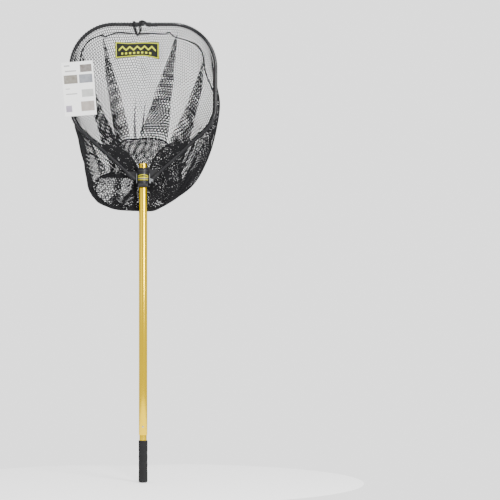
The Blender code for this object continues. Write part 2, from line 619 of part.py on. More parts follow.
def trim(cloth, card_stock, rope):
    """The sewn patch in two halves, the hang card with its loop, and the tie that lifts the net's edge."""
    middle, top = -PATCH_LEFT_OF_MIDDLE, HOOP_TOP - PATCH_BELOW_TOP + PATCH_HEIGHT / 2
    front = BAG_RIM_Y - PATCH_THICKNESS - BAG_THICKNESS
    for side, outer in ((-1, middle - PATCH_WIDTH / 2), (1, middle + PATCH_WIDTH / 2)):
        inner = side * BAG_HALF_GAP
        block(side_name(side, "patch"), (min(inner, outer), front, top - PATCH_HEIGHT),
              (max(inner, outer), front + PATCH_THICKNESS, top), cloth)

    card = block("hang_card", (-CARD_WIDTH / 2, 0, -CARD_HEIGHT / 2), (CARD_WIDTH / 2, CARD_THICKNESS, CARD_HEIGHT / 2),
                 card_stock)
    hole_z = CARD_HEIGHT / 2 - CARD_HOLE_BELOW_EDGE
    hole = rod("card_hole", (0, -0.01, hole_z), (0, 0.01, hole_z), CARD_HOLE_RADIUS, rope)
    cut(card, hole)
    place = Matrix.Translation((-CARD_OUT, CARD_Y, HOOP_TOP - CARD_BELOW_TOP)) @ Matrix.Rotation(CARD_TILT, 4, "Y")
    card.data.transform(place)
    hole.data.transform(place)

    wrap = HOOP_TUBE_RADIUS + TIE_DIAMETER / 2 + 3 * GAP
    over = wrap + HINGE_SLEEVE_WALL + GAP
    knot_x, near_x = -TIE_OUT / 2, -(HINGE_SLEEVE_START + HINGE_SLEEVE_LENGTH * 0.35)
    low, y = HOOP_TOP - TIE_DROP, HOOP_SET_BACK
    route = [*wrap_round(-TIE_OUT, wrap, -50, 195), (knot_x - 0.004, y, low + 0.005), (knot_x, y + 0.003, low),
             (knot_x + 0.002, y, low + 0.007), *reversed(list(wrap_round(near_x, over, -50, 195)))]
    cord("edge_tie", smooth_route(route, 3), TIE_DIAMETER, rope)


def wrap_round(x, radius, start, end, steps=7):
    """Points round the top tube at this x, by degrees from straight behind it, over its top, to its front."""
    for step in range(steps + 1):
        turn = math.radians(mixed(step / steps, start, end))
        yield x, HOOP_SET_BACK + radius * math.cos(turn), HOOP_TOP + radius * math.sin(turn)


def main():
    clear_scene()
    gold = finish("gold_anodised", (0.80, 0.60, 0.22), 0.28, 1.0)
    black_tube = finish("black_tube", (0.02, 0.02, 0.022), 0.35, 0.6)
    foam = finish("black_foam", (0.02, 0.02, 0.02), 0.85)
    plastic = finish("black_plastic", (0.025, 0.025, 0.027), 0.45)
    steel = finish("spring_steel", (0.55, 0.55, 0.56), 0.3, 1.0)
    dark = finish("black_oxide", (0.05, 0.05, 0.05), 0.4, 0.8)
    aluminium = finish("bare_aluminium", (0.75, 0.76, 0.78), 0.35, 1.0)
    nylon = finish("black_nylon", (0.03, 0.03, 0.03), 0.5)
    netting = finish("knotless_netting", (0.02, 0.02, 0.02), 0.8)
    rope = finish("black_cord", (0.02, 0.02, 0.02), 0.8)
    label = finish("printed_label", (0.55, 0.60, 0.08), 0.5)
    card_stock = finish("coated_card", (0.90, 0.90, 0.88), 0.5)

    handle(gold, foam, plastic, steel, dark)
    yoke(plastic, aluminium, nylon, label)
    for side in (-1, 1):
        half_hoop(side, black_tube, plastic, steel, aluminium)
        bag_half(side, netting)
        border_rope(side, rope)
    top_pin(steel)
    trim(label, card_stock, rope)


main()
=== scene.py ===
"""The looks of a folding landing net: netting, cords, patch and card, finer handle parts and every finish."""

import math

import bpy
import numpy as np
from mathutils import Matrix, Vector


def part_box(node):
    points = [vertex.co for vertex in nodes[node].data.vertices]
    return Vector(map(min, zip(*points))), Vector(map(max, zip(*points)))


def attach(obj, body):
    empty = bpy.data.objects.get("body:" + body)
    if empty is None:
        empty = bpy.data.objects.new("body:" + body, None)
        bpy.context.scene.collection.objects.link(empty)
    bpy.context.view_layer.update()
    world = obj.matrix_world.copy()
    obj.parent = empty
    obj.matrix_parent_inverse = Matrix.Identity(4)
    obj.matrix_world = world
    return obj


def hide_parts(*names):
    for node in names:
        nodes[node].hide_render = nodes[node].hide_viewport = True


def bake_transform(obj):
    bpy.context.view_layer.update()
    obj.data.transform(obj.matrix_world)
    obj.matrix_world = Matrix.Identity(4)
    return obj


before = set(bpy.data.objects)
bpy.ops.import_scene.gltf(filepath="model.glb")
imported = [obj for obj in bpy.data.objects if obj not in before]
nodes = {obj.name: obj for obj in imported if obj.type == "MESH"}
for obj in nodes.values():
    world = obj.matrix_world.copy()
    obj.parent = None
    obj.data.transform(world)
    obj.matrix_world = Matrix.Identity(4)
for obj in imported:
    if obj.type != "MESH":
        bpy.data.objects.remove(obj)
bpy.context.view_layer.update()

LEFT, RIGHT = "left_half", "right_half"


def middle(name):
    low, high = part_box(name)
    return (low + high) / 2


def span(name):
    low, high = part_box(name)
    return high - low


# ---------------------------------------------------------------- places read from the frame

TUBE_RADIUS = span("right_hoop_tube").y / 2
HOOP_Y = middle("right_hoop_tube").y
HOOP_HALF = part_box("right_hoop_tube")[1].x - TUBE_RADIUS
HOOP_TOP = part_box("right_hoop_tube")[1].z - TUBE_RADIUS
YOKE_LOW, YOKE_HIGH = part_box("yoke_block")[0].z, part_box("yoke_top_ring")[1].z
TOP_BEND, LOW_BEND = 0.147, 0.120
ARM_SLOPE = math.radians(42.3)
ARM_ROOT = (0.030, YOKE_LOW + 0.029)


# ---------------------------------------------------------------- camera, light and floor

def set_camera():
    camera = bpy.data.objects.new("camera", bpy.data.cameras.new("camera"))
    bpy.context.scene.collection.objects.link(camera)
    camera.data.lens = 180
    camera.data.sensor_width = 36
    view_width, beside, height = 1.700, 0.363, 0.789
    distance = view_width * camera.data.lens / camera.data.sensor_width
    camera.location = (beside, HOOP_Y - distance, height)
    camera.rotation_euler = (math.radians(90), 0, 0)
    camera.data.clip_end = 60
    bpy.context.scene.camera = camera


def soft_light(name, place, target, size, power):
    light = bpy.data.lights.new(name, "AREA")
    light.shape = "RECTANGLE"
    light.size, light.size_y = size
    light.energy = power
    holder = bpy.data.objects.new(name, light)
    bpy.context.scene.collection.objects.link(holder)
    holder.location = place
    holder.rotation_euler = (Vector(target) - Vector(place)).to_track_quat("-Z", "Y").to_euler()


def set_studio():
    world = bpy.data.worlds.new("studio")
    world.use_nodes = True
    tree = world.node_tree
    seen, shown = tree.nodes.new("ShaderNodeLightPath"), tree.nodes.new("ShaderNodeMapRange")
    shown.inputs["To Min"].default_value, shown.inputs["To Max"].default_value = 1.1, 2.0
    tree.links.new(seen.outputs["Is Camera Ray"], shown.inputs["Value"])
    tree.links.new(shown.outputs["Result"], tree.nodes["Background"].inputs["Strength"])
    tree.nodes["Background"].inputs["Color"].default_value = (1, 1, 1, 1)
    bpy.context.scene.world = world
    soft_light("key", (2.0, -3.2, 1.8), (0, 0, 0.9), (0.9, 2.2), 200)
    soft_light("top", (0.3, -1.8, 3.6), (0, 0, 1.1), (0.25, 0.25), 55)
    soft_light("fill", (-2.4, -2.2, 1.2), (0, 0, 0.8), (1.6, 1.6), 8)
    bpy.ops.mesh.primitive_circle_add(vertices=64, radius=0.75, fill_type="NGON", location=(0, 0, -0.001))
    floor = bpy.context.object
    floor.name = "floor"
    look = Look("pale_floor")
    look.set("Base Color", (0.95, 0.95, 0.95, 1))
    look.set("Roughness", 0.9)
    look.set("Emission Color", (1, 1, 1, 1))
    look.set("Emission Strength", 0.7)
    floor.data.materials.append(look.material)


# ---------------------------------------------------------------- shader writing

class Value:
    """A shader output that takes part in sums, each of which adds a Math node."""

    def __init__(self, look, socket):
        self.look, self.socket = look, socket

    def math(self, operation, *others):
        values = dict(enumerate((self, *others)))
        return self.look.node("ShaderNodeMath", {"operation": operation}, values)

    def __add__(self, other):
        return self.math("ADD", other)

    def __sub__(self, other):
        return self.math("SUBTRACT", other)

    def __rsub__(self, other):
        return self.look.node("ShaderNodeMath", {"operation": "SUBTRACT"}, {0: other, 1: self})

    def __mul__(self, other):
        return self.math("MULTIPLY", other)

    def __truediv__(self, other):
        return self.math("DIVIDE", other)

    def __gt__(self, other):
        return self.math("GREATER_THAN", other)

    def __lt__(self, other):
        return self.math("LESS_THAN", other)

    def __abs__(self):
        return self.math("ABSOLUTE")

    __radd__ = __add__
    __rmul__ = __mul__


class Look:
    """One material. node() adds any node; set() fills a socket of the shader."""

    def __init__(self, name):
        self.material = bpy.data.materials.new(name)
        self.material.use_nodes = True
        self.tree = self.material.node_tree
        self.shader = self.tree.nodes["Principled BSDF"]

    def node(self, kind, settings=None, inputs=None, output=0):
        made = self.tree.nodes.new(kind)
        for key, value in (settings or {}).items():
            if key == "stops":
                self.fill_ramp(made.color_ramp, value)
            else:
                setattr(made, key, value)
        for key, value in (inputs or {}).items():
            self.feed(made.inputs[key], value)
        return Value(self, made.outputs[output])

    def fill_ramp(self, ramp, stops):
        while len(ramp.elements) < len(stops):
            ramp.elements.new(0.5)
        for element, (place, colour) in zip(ramp.elements, stops):
            element.position = place
            element.color = colour

    def feed(self, socket, value):
        if isinstance(value, Value):
            self.tree.links.new(value.socket, socket)
        else:
            socket.default_value = value

    def set(self, name, value):
        self.feed(self.shader.inputs[name], value)

    def place(self, scale=(1, 1, 1)):
        """Object coordinates, in metres, stretched by scale."""
        coordinate = self.node("ShaderNodeTexCoord", output="Object")
        return self.node("ShaderNodeMapping", {}, {"Vector": coordinate, "Scale": scale})

    def axes(self, vector):
        split = self.tree.nodes.new("ShaderNodeSeparateXYZ")
        self.tree.links.new(vector.socket, split.inputs[0])
        return [Value(self, out) for out in split.outputs]

    def noise(self, scale, detail=3.0, stretch=(1, 1, 1)):
        inputs = {"Vector": self.place(stretch), "Scale": scale, "Detail": detail}
        return self.node("ShaderNodeTexNoise", {}, inputs)

    def ramp(self, value, low, high):
        return self.node("ShaderNodeMapRange", {"clamp": True}, {"Value": value, 3: low, 4: high})

    def between(self, mask, a, b):
        """Colour a where the mask is 0 and b where it is 1."""
        settings = {"data_type": "RGBA", "clamp_factor": True}
        return self.node("ShaderNodeMix", settings, {0: mask, 6: (*a, 1) if isinstance(a, tuple) else a,
                                                     7: (*b, 1) if isinstance(b, tuple) else b}, output=2)

    def bump(self, height, strength, distance):
        self.set("Normal", self.node("ShaderNodeBump", {},
                                     {"Height": height, "Strength": strength, "Distance": distance}))


def gold_look():
    look = Look("gold_anodised_tube")
    streaks = look.noise(220, 4, (1, 1, 0.02))
    patches = look.noise(9, 3)
    look.set("Base Color", look.between(patches, (0.82, 0.54, 0.003), (0.90, 0.62, 0.008)))
    look.set("Metallic", 1.0)
    look.set("Roughness", look.ramp(streaks * 0.6 + patches * 0.4, 0.14, 0.26))
    look.bump(streaks, 0.12, 0.0002)
    return look.material


def foam_look():
    look = Look("black_foam")
    cells = look.node("ShaderNodeTexVoronoi", {}, {"Vector": look.place(), "Scale": 900.0})
    rubbed = look.noise(35, 4)
    look.set("Base Color", look.between(rubbed, (0.006, 0.006, 0.006), (0.016, 0.016, 0.017)))
    look.set("Roughness", look.ramp(rubbed, 0.78, 0.95))
    look.set("Specular IOR Level", 0.25)
    look.bump(cells + rubbed * 0.5, 0.55, 0.0006)
    return look.material


def plastic_look(name="black_moulded_plastic", colour=(0.007, 0.007, 0.008)):
    look = Look(name)
    grain = look.noise(1400, 2)
    wear = look.noise(60, 5)
    look.set("Base Color", look.between(wear, colour, tuple(c * 2.1 for c in colour)))
    look.set("Roughness", look.ramp(wear, 0.34, 0.55))
    look.set("Specular IOR Level", 0.3)
    look.bump(grain, 0.25, 0.0002)
    return look.material


def metal_look(name, colour, rough, stretch=(1, 1, 0.05)):
    look = Look(name)
    brushed = look.noise(500, 3, stretch)
    look.set("Base Color", look.between(brushed, tuple(c * 0.86 for c in colour), colour))
    look.set("Metallic", 1.0)
    look.set("Roughness", look.ramp(brushed, rough * 0.75, rough * 1.3))
    look.bump(brushed, 0.15, 0.0002)
    return look.material


def powder_look():
    look = Look("black_powder_coat")
    peel = look.noise(700, 2)
    scuffs = look.noise(40, 5)
    look.set("Base Color", look.between(scuffs, (0.006, 0.006, 0.007), (0.018, 0.018, 0.020)))
    look.set("Roughness", look.ramp(scuffs, 0.16, 0.30))
    look.set("Specular IOR Level", 0.30)
    look.set("Coat Weight", 0.2)
    look.set("Coat Roughness", 0.08)
    look.bump(peel, 0.20, 0.0003)
    return look.material


def twine_look(name, dark, light, scale=650):
    look = Look(name)
    fibres = look.noise(scale, 3)
    patches = look.noise(25, 3)
    look.set("Base Color", look.between(patches, dark, light))
    look.set("Roughness", look.ramp(fibres, 0.48, 0.80))
    look.set("Specular IOR Level", 0.2)
    look.bump(fibres, 0.5, 0.0004)
    return look.material


def box_mask(u, v, low, high):
    """1 inside the rectangle from low to high on a piece's own map."""
    return (u > low[0]) * (u < high[0]) * (v > low[1]) * (v < high[1])


def patch_look():
    """A woven patch: a yellow-green border, a row of plain chevrons and a row of dashes on a black ground."""
    look = Look("woven_patch")
    u, v, _ = look.axes(look.node("ShaderNodeUVMap", {"uv_map": "face"}))
    weave = look.noise(900, 2)
    outer = box_mask(u, v, (0.014, 0.035), (0.986, 0.965)) - box_mask(u, v, (0.034, 0.085), (0.966, 0.915))
    tooth = abs((u * 6.0).math("FRACT") - 0.5)
    chevrons = (abs(v - 0.48 - tooth * 0.46) < 0.060) * box_mask(u, v, (0.08, 0.44), (0.92, 0.82))
    dashes = ((u * 11.0).math("FRACT") > 0.48) * box_mask(u, v, (0.14, 0.20), (0.86, 0.33))
    lit = (outer + chevrons + dashes).math("MINIMUM", 1.0)
    look.set("Base Color", look.between(lit, (0.008, 0.009, 0.006), (0.52, 0.56, 0.02)))
    look.set("Roughness", look.ramp(weave, 0.55, 0.85))
    look.set("Specular IOR Level", 0.25)
    look.bump(weave + lit * 0.4, 0.4, 0.0004)
    return look.material


def card_look():
    """A white hang card with plain grey, brown and violet blocks and a few fine grey rules."""
    look = Look("printed_card")
    u, v, _ = look.axes(look.node("ShaderNodeUVMap", {"uv_map": "face"}))
    tone = look.noise(70, 4)
    paper = look.noise(500, 2)
    colour = look.between(paper, (0.90, 0.90, 0.88), (0.95, 0.95, 0.93))
    blocks = ((0.58, 0.80, 0.95, 0.94, (0.05, 0.03, 0.02)), (0.05, 0.60, 0.48, 0.76, (0.08, 0.06, 0.03)),
              (0.53, 0.60, 0.95, 0.76, (0.11, 0.12, 0.15)), (0.58, 0.34, 0.95, 0.48, (0.36, 0.37, 0.35)),
              (0.05, 0.08, 0.24, 0.20, (0.22, 0.18, 0.26)), (0.53, 0.08, 0.95, 0.26, (0.24, 0.20, 0.17)))
    for left, low, right, high, ink in blocks:
        mask = box_mask(u, v, (left, low), (right, high)) * look.ramp(tone, 0.70, 1.0)
        colour = look.between(mask, colour, ink)
    lines = ((0.08, 0.92, 0.26, 0.945), (0.10, 0.82, 0.46, 0.845),
             (0.08, 0.50, 0.22, 0.515), (0.08, 0.40, 0.44, 0.42))
    rules = box_mask(u, v, lines[0][:2], lines[0][2:])
    for line in lines[1:]:
        rules = rules + box_mask(u, v, line[:2], line[2:])
    colour = look.between(rules * 0.7, colour, (0.16, 0.16, 0.16))
    look.set("Base Color", colour)
    look.set("Roughness", 0.38)
    look.bump(paper, 0.1, 0.0001)
    return look.material


def band_look():
    """The printed band on the yoke: an arched yellow line over a yellow stripe, a grey one and a yellow rule, on black."""
    look = Look("printed_band")
    x, _, z = look.axes(look.node("ShaderNodeTexCoord", output="Object"))
    low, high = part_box("yoke_band")
    height = (z - low.z) / (high.z - low.z)
    arch = abs(height + (x * 48.0).math("POWER", 2.0) * 0.30 - 0.90) < 0.055
    stripe = (height > 0.42) * (height < 0.58)
    grey = (height > 0.24) * (height < 0.34)
    rule = (height > 0.08) * (height < 0.16)
    lit = (arch + stripe + rule).math("MINIMUM", 1.0)
    base = look.between(grey, (0.004, 0.004, 0.004), (0.22, 0.21, 0.19))
    look.set("Base Color", look.between(lit, base, (0.62, 0.56, 0.004)))
    look.set("Roughness", look.ramp(look.noise(200, 3), 0.28, 0.45))
    look.set("Specular IOR Level", 0.3)
    return look.material


# ---------------------------------------------------------------- shared modelling steps

def deselect():
    bpy.ops.object.select_all(action="DESELECT")


def activate(piece):
    deselect()
    piece.select_set(True)
    bpy.context.view_layer.objects.active = piece


def apply_all(piece):
    activate(piece)
    for step in list(piece.modifiers):
        bpy.ops.object.modifier_apply(modifier=step.name)


def finish_piece(piece, name, material, body=None, smooth=35):
    piece.name = name
    activate(piece)
    bpy.ops.object.transform_apply(location=True, rotation=True, scale=True)
    piece.data.materials.clear()
    piece.data.materials.append(material)
    if smooth:
        bpy.ops.object.shade_smooth_by_angle(angle=math.radians(smooth))
    if body:
        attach(piece, body)


def from_faces(name, points, faces):
    mesh = bpy.data.meshes.new(name)
    mesh.from_pydata([tuple(p) for p in points], [], [tuple(f) for f in faces])
    mesh.update()
    piece = bpy.data.objects.new(name, mesh)
    bpy.context.scene.collection.objects.link(piece)
    return piece


def cord_mesh(name, route, diameter, sides=8, closed=False):
    """A round cord as a mesh, along a route of points."""
    curve = bpy.data.curves.new(name, "CURVE")
    curve.dimensions = "3D"
    curve.bevel_depth = diameter / 2
    curve.bevel_resolution = max(0, sides // 4 - 1)
    curve.use_fill_caps = not closed
    line = curve.splines.new("POLY")
    line.points.add(len(route) - 1)
    for slot, point in zip(line.points, route):
        slot.co = (*point, 1)
    line.use_cyclic_u = closed
    piece = bpy.data.objects.new(name, curve)
    bpy.context.scene.collection.objects.link(piece)
    activate(piece)
    bpy.ops.object.convert(target="MESH")
    return bpy.context.object


def spline_through(points, per_span=6, closed=False):
    """Points on a smooth curve through the given ones."""
    points = [Vector(p) for p in points]
    if closed:
        ring = [points[-1], *points, points[0], points[1]]
    else:
        ring = [2 * points[0] - points[1], *points, 2 * points[-1] - points[-2]]
    route = []
    for a, b, c, d in zip(ring, ring[1:], ring[2:], ring[3:]):
        for step in range(per_span):
            t = step / per_span
            route.append(0.5 * (2 * b + (c - a) * t + (2 * a - 5 * b + 4 * c - d) * t ** 2
                                + (3 * b - a - 3 * c + d) * t ** 3))
    return route if closed else route + [points[-1]]


# ---------------------------------------------------------------- the hoop's line and the bag's form

def arc(centre, radius, start, end, steps):
    for step in range(steps + 1):
        angle = start + (end - start) * step / steps
        yield centre[0] + radius * math.cos(angle), centre[1] + radius * math.sin(angle)


def hoop_line():
    """The right half of the tube's centreline, as (x, z), from the hinge at the top to the arm's root."""
    turn = math.pi / 2 - ARM_SLOPE
    corner_z = ARM_ROOT[1] + (HOOP_HALF - ARM_ROOT[0]) * math.tan(ARM_SLOPE)
    line = [(0.009, HOOP_TOP)]
    line += arc((HOOP_HALF - TOP_BEND, HOOP_TOP - TOP_BEND), TOP_BEND, math.pi / 2, 0, 40)
    line += arc((HOOP_HALF - LOW_BEND, corner_z + LOW_BEND * math.tan(turn / 2)), LOW_BEND, 0, -turn, 24)
    return line + [ARM_ROOT]


def evenly(line, count):
    """Points at even steps along a line, with the line's direction at each."""
    line = np.array(line, float)
    lengths = np.concatenate([[0], np.cumsum(np.linalg.norm(np.diff(line, axis=0), axis=1))])
    at = np.linspace(0, lengths[-1], count)
    points = np.stack([np.interp(at, lengths, line[:, k]) for k in range(line.shape[1])], axis=1)
    ahead = np.gradient(points, axis=0)
    return points, ahead / np.linalg.norm(ahead, axis=1)[:, None]


def round_table(table, a):
    """A smooth closed curve through (share of the way round, x, y, z) rows, read at each share in a."""
    table = np.array(table, float)
    share = np.concatenate([table[-2:, 0] - 1, table[:, 0], table[:2, 0] + 1])
    rows = np.concatenate([table[-2:, 1:], table[:, 1:], table[:2, 1:]])
    slope = np.gradient(rows, share, axis=0)
    index = np.clip(np.searchsorted(share, a, side="right") - 1, 0, len(share) - 2)
    step = (share[index + 1] - share[index])[:, None]
    t = ((a - share[index])[:, None]) / step
    return ((2 * t ** 3 - 3 * t ** 2 + 1) * rows[index] + (t ** 3 - 2 * t ** 2 + t) * step * slope[index]
            + (-2 * t ** 3 + 3 * t ** 2) * rows[index + 1] + (t ** 3 - t ** 2) * step * slope[index + 1])


# How the bag hangs: shares of the way round its edge, from the top hinge clockwise seen from the front, and points
# in metres. BELLY is how far each line of meshes swings out, and SEAM the edge of the bottom panel.
BELLY = (
    (0.00, -0.006, 0.058, 1.365), (0.055, 0.062, 0.060, 1.355), (0.10, 0.118, 0.062, 1.345),
    (0.15, 0.185, 0.060, 1.345), (0.19, 0.238, 0.056, 1.350), (0.23, 0.264, 0.050, 1.300),
    (0.28, 0.254, 0.042, 1.205), (0.33, 0.225, 0.036, 1.100), (0.38, 0.176, 0.032, 1.010),
    (0.42, 0.120, 0.031, 0.965), (0.46, 0.052, 0.031, 0.922), (0.50, 0.000, 0.032, 0.915),
    (0.54, -0.060, 0.031, 0.916), (0.59, -0.132, 0.031, 0.930), (0.64, -0.188, 0.033, 0.985),
    (0.69, -0.203, 0.038, 1.090), (0.74, -0.236, 0.046, 1.215), (0.79, -0.240, 0.054, 1.300),
    (0.85, -0.195, 0.060, 1.335), (0.92, -0.115, 0.060, 1.350),
)
SEAM = (
    (0.00, -0.020, 0.086, 1.170), (0.055, 0.030, 0.086, 1.172), (0.10, 0.076, 0.084, 1.158),
    (0.15, 0.112, 0.080, 1.108), (0.22, 0.126, 0.074, 1.050), (0.30, 0.128, 0.064, 1.000),
    (0.38, 0.085, 0.052, 0.955), (0.45, 0.035, 0.043, 0.932), (0.50, 0.000, 0.040, 0.930),
    (0.57, -0.060, 0.041, 0.938), (0.64, -0.108, 0.046, 0.936), (0.71, -0.178, 0.060, 0.980),
    (0.77, -0.155, 0.070, 1.034), (0.82, -0.112, 0.078, 1.058), (0.87, -0.095, 0.083, 1.100),
    (0.93, -0.080, 0.086, 1.158),
)
# Each fold starts from a point under the edge and widens towards the seam: its share of the way round at the edge and
# at the seam, half its width at the seam, and how far down it starts.
FOLDS = (
    (0.026, 0.010, 0.007, 0.60), (0.074, 0.055, 0.050, 0.02), (0.150, 0.152, 0.044, 0.06),
    (0.205, 0.212, 0.010, 0.50), (0.262, 0.262, 0.012, 0.55), (0.320, 0.318, 0.013, 0.55),
    (0.385, 0.376, 0.015, 0.40), (0.432, 0.428, 0.020, 0.04), (0.470, 0.475, 0.018, 0.04),
    (0.530, 0.525, 0.018, 0.04), (0.568, 0.572, 0.020, 0.04), (0.615, 0.624, 0.015, 0.40),
    (0.680, 0.682, 0.013, 0.55), (0.735, 0.735, 0.012, 0.55), (0.795, 0.790, 0.014, 0.50),
    (0.855, 0.862, 0.044, 0.06), (0.912, 0.936, 0.036, 0.02), (0.975, 0.987, 0.007, 0.60),
)
# The netting rises behind each arm before it falls to the bottom: the most it rises, and where that is.
TUCK_RISE = 0.085
TUCKS = ((0.430, 0.062), (0.570, 0.062))
TUCK_SHARE = 0.22
ROUNDING = (-1, -0.67, -0.33, 0, 0.33, 0.67, 1)
# How far a doubled-back layer lies before or behind the surface, and how far its rows shift down or up.
LAYER_DEPTH, LAYER_SHIFT = 0.0030, 0.016


def edge_points(a):
    """Where the bag is laced to the hoop, for shares a of the way round; behind the yoke it leaves the arms."""
    line = [(0, HOOP_TOP), *hoop_line(), (0.012, ARM_ROOT[1] - 0.012), (0, ARM_ROOT[1] - 0.016)]
    points, ahead = evenly(line, 400)
    inward = np.stack([ahead[:, 1], -ahead[:, 0]], axis=1)
    centre = np.array([0, (HOOP_TOP + YOKE_LOW) / 2])
    inward *= np.sign(((centre - points) * inward).sum(1))[:, None]
    flat = points + inward * 0.0082 * np.clip(points[:, 0] / 0.05, 0, 1)[:, None]
    round_right = np.where(a <= 0.5, a * 2, (1 - a) * 2)
    at = np.linspace(0, 1, len(flat))
    x, z = np.interp(round_right, at, flat[:, 0]), np.interp(round_right, at, flat[:, 1])
    y = np.full(len(a), HOOP_Y + 0.002)
    near_yoke = np.clip((0.060 - x) / 0.035, 0, 1) * (z < YOKE_HIGH + 0.02)
    y = y + (0.031 - y) * near_yoke * near_yoke * (3 - 2 * near_yoke)
    near_hinge = np.clip((0.030 - x) / 0.020, 0, 1) * (z > HOOP_TOP - 0.03)
    z = z - 0.010 * near_hinge
    y = y + 0.006 * near_hinge
    return np.stack([np.where(a <= 0.5, x, -x), y, z], axis=1)


def ease(value, low, high):
    t = np.clip((value - low) / (high - low), 0, 1)
    return t * t * (3 - 2 * t)


def bag_surface(a, t):
    """Points of the hanging bag for shares a round the hoop and t from its edge to the bottom seam: straight runs
    from the edge over the tuck and the belly to the seam, rounded where they meet."""
    a, t = np.asarray(a, float), np.asarray(t, float)[:, None]
    edge, belly, seam = edge_points(a), round_table(BELLY, a), round_table(SEAM, a)
    tuck = edge + (belly - edge) * TUCK_SHARE
    for centre, width in TUCKS:
        rise = TUCK_RISE * np.exp(-((a - centre) / width) ** 2)[:, None]
        tuck += rise * np.array([[-0.35 * np.sign(0.5 - centre), 0.12, 1.0]])
    stretches = (edge, tuck), (tuck, belly), (belly, seam)
    runs = [np.linalg.norm(end - start, axis=1)[:, None] for start, end in stretches]
    first, second = runs[0] / sum(runs), (runs[0] + runs[1]) / sum(runs)
    reach = np.minimum(0.07, np.minimum(t, 1 - t))
    points = np.zeros_like(edge)
    for step in ROUNDING:
        at = t + step * reach
        points += edge + (tuck - edge) * np.clip(at / first, 0, 1)
        points += (belly - tuck) * np.clip((at - first) / (second - first), 0, 1)
        points += (seam - belly) * np.clip((at - second) / (1 - second), 0, 1)
    return points / len(ROUNDING)


def fold_path(a, t):
    """Where shares a of the netting's width lie once it is doubled back in the folds, t of the way down, and how far
    behind or before the bag's surface each layer is, as -1 to 1."""
    place, lift = [0 * t], [0 * t]
    for top, bottom, width, start in FOLDS:
        centre = top + (bottom - top) * t
        share = np.clip((t - start) / (1 - start), 0, 1)
        wide = width * share * (0.6 + 0.4 * share)
        place += [centre + wide, centre - wide]
        lift += [-ease(wide, 0, 0.006), ease(wide, 0, 0.006)]
    place, lift = np.array([*place, 0 * t + 1]), np.array([*lift, 0 * t])
    run = np.concatenate([place[:1], np.cumsum(np.abs(np.diff(place, axis=0)), axis=0)])
    along = a * run[-1]
    at, depth = a.copy(), 0 * a
    for k in range(len(place) - 1):
        share = (along - run[k]) / np.maximum(run[k + 1] - run[k], 1e-9)
        inside = (share >= 0) & (share <= 1)
        at = np.where(inside, place[k] + (place[k + 1] - place[k]) * share, at)
        depth = np.where(inside, lift[k] + (lift[k + 1] - lift[k]) * share, depth)
    return at, depth


def pleated(a, t):
    """The bag's surface with its netting doubled back in folds that fan out downwards."""
    a, t = np.asarray(a, float), np.asarray(t, float)
    at, depth = fold_path(a, t)
    loose = ease(t, 0.02, 0.25)
    shifted = t + LAYER_SHIFT * depth * loose * (1 - ease(t, 0.85, 1))
    points = bag_surface(at % 1, np.clip(shifted, 0, 1))
    points[:, 1] += LAYER_DEPTH * depth + 0.0012 * loose * np.sin(31 * a + 9 * t)
    points[:, 0] += 0.0011 * loose * np.sin(47 * points[:, 2] + 118 * a)
    points[:, 2] += 0.0011 * loose * np.sin(53 * points[:, 0] + 17 * t)
    return points


# ---------------------------------------------------------------- netting

TWINE = 0.0026
MESH_ZIGZAG = 0.19


def honeycomb(columns, rows):
    """A honeycomb of meshes as (column, row) corners and six-sided faces; columns is even."""
    number = {}
    corners, faces = [], []

    def corner(i, j):
        if (i, j) not in number:
            number[i, j] = len(corners)
            corners.append((i, j + (MESH_ZIGZAG if (i + j) % 2 == 0 else -MESH_ZIGZAG)))
        return number[i, j]

    for j in range(rows):
        for i in range(j % 2, columns - 1, 2):
            ring = [(i, j), (i + 1, j), (i + 2, j), (i + 2, j + 1), (i + 1, j + 1), (i, j + 1)]
            if ring[2][0] <= columns:
                faces.append([corner(*c) for c in ring])
    return np.array(corners, float), faces


def twine_from(name, points, faces, thickness):
    """Lays a strand of twine along every side of the faces, four-sided and shaded round."""
    sides = {tuple(sorted(pair)) for face in faces for pair in zip(face, face[1:] + face[:1])}
    ends = np.array(sorted(sides))
    points = np.asarray(points, float)
    start, end = points[ends[:, 0]], points[ends[:, 1]]
    ahead = end - start
    ahead /= np.maximum(np.linalg.norm(ahead, axis=1), 1e-9)[:, None]
    across = np.cross(ahead, [0.05, 1.0, 0.03])
    across /= np.maximum(np.linalg.norm(across, axis=1), 1e-9)[:, None]
    out = np.cross(across, ahead)
    radius, lap = thickness / 2, thickness * 0.2
    spokes = [across, out, -across, -out]
    rings = [start - ahead * lap + radius * spoke for spoke in spokes]
    rings += [end + ahead * lap + radius * spoke for spoke in spokes]
    corners = np.stack(rings, axis=1).reshape(-1, 3)
    base = np.arange(len(ends))[:, None] * 8
    walls = [base + np.array([[k, (k + 1) % 4, (k + 1) % 4 + 4, k + 4]]) for k in range(4)]
    return from_faces(name, corners, np.concatenate(walls))


def bend_with_hoop(piece):
    """Bakes the piece's placement into its mesh."""
    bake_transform(piece)


def make_netting(material):
    columns, rows = 208, 44
    for name, start, stands_for in (("netting_right", 0.0, "right_bag"), ("netting_left", 0.5, "left_bag")):
        corners, faces = honeycomb(columns, rows)
        a = np.clip(start + corners[:, 0] / columns * 0.5, 0, 1)
        t = np.clip(corners[:, 1] / rows, 0, 1)
        piece = twine_from(name, pleated(a % 1.0, t), faces, TWINE)
        finish_piece(piece, name, material, smooth=100)
        bend_with_hoop(piece)
        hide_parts(stands_for)


def seam_route(count=160):
    points = bag_surface(np.arange(count) / count, np.ones(count))
    points[:, 1] -= 0.0055
    return points


